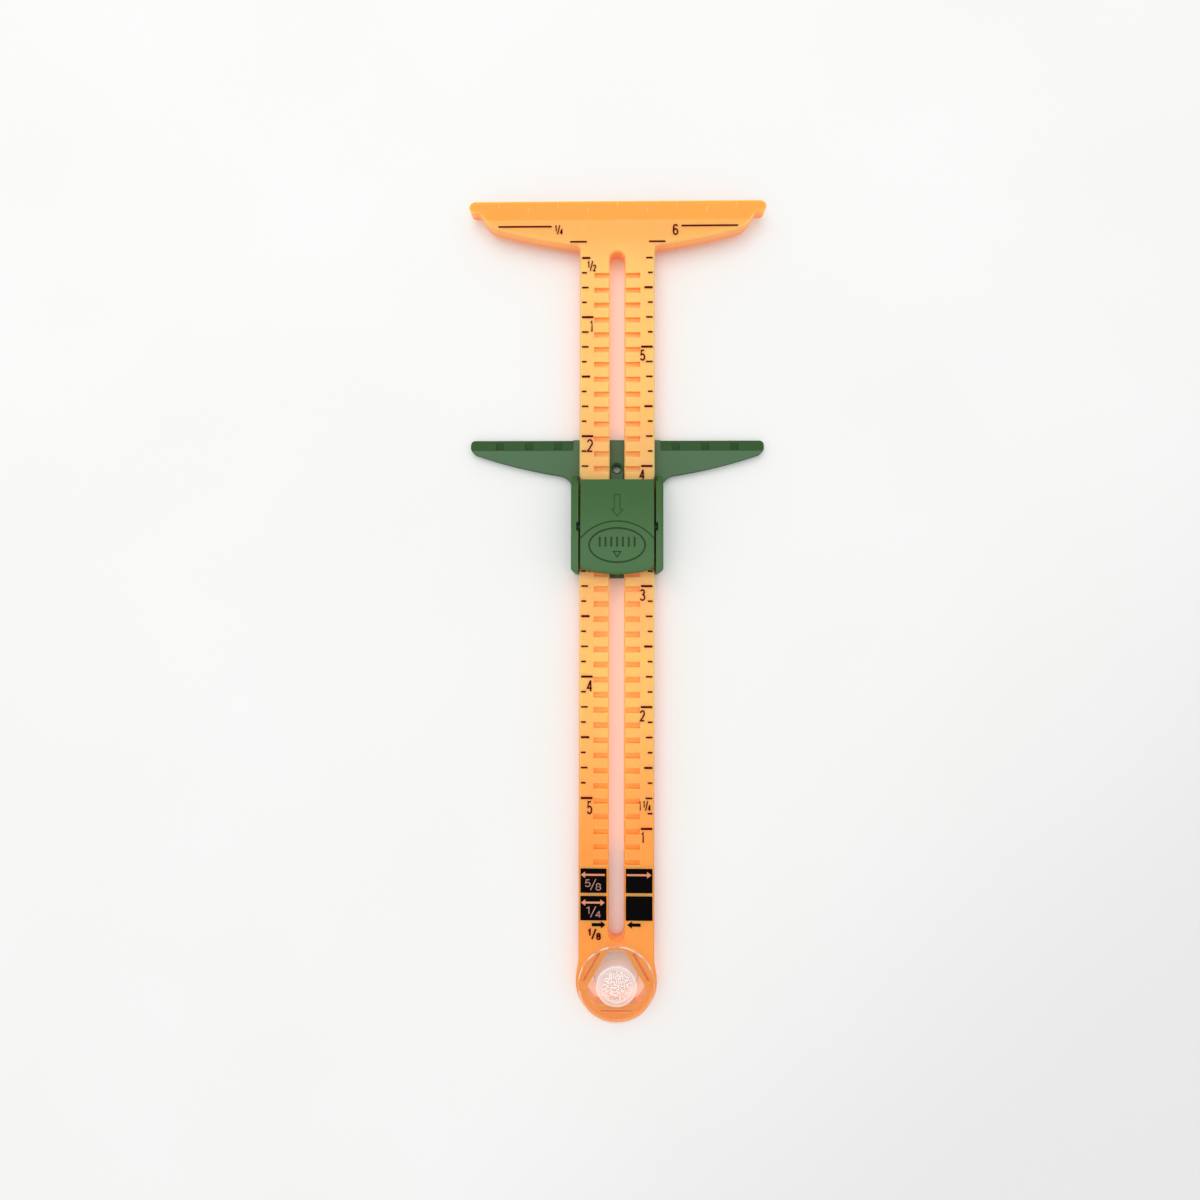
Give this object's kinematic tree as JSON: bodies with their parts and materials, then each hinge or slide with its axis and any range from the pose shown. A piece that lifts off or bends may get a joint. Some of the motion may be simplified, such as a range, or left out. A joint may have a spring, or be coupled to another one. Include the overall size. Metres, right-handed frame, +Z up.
{
  "type": "sliding sewing gauge",
  "caption": "Sliding sewing gauge: a T-shaped slotted ruler, a winged slider that locks every eighth of an inch under a rocking thumb lever, and a clear pivot button at the round end.",
  "frame": {"origin": "centre of the gauge's footprint, on the surface that it lies on", "axes": "+Z up out of the printed face, +Y along the ruler towards the T head, +X to the right as the printed face is read"},
  "size_m": [0.0636, 0.1736, 0.0077],
  "materials": {
    "ruler_plastic": "milky translucent orange, moulded, satin gloss",
    "slider_plastic": "opaque leaf green, moulded, fine satin texture",
    "clear_plastic": "clear, polished, bright on the rims"
  },
  "bodies": {
    "ruler": {"t_ruler": "ruler_plastic"},
    "slider": {"slider_base": "slider_plastic"},
    "lever": {"push_lever": "slider_plastic", "spring_tongue": "slider_plastic"},
    "button": {"anchor_button": "clear_plastic"}
  },
  "joints": [
    {"name": "slider_slide", "type": "slide", "parent": "ruler", "child": "slider", "axis": [0, 1, 0], "range_m": [-0.0762, 0.0381]},
    {"name": "lever_rock", "type": "hinge", "parent": "slider", "child": "lever", "pos_m": [0, 0.0165, 0.00595], "axis": [1, 0, 0], "range_deg": [0, 7], "stiffness_Nm_per_rad": 0.04, "springref_deg": -2.86, "deforming": ["spring_tongue"]},
    {"name": "button_turn", "type": "hinge", "parent": "ruler", "child": "button", "pos_m": [0, -0.0783, 0.0032], "axis": [0, 0, 1], "continuous": true}
  ]
}
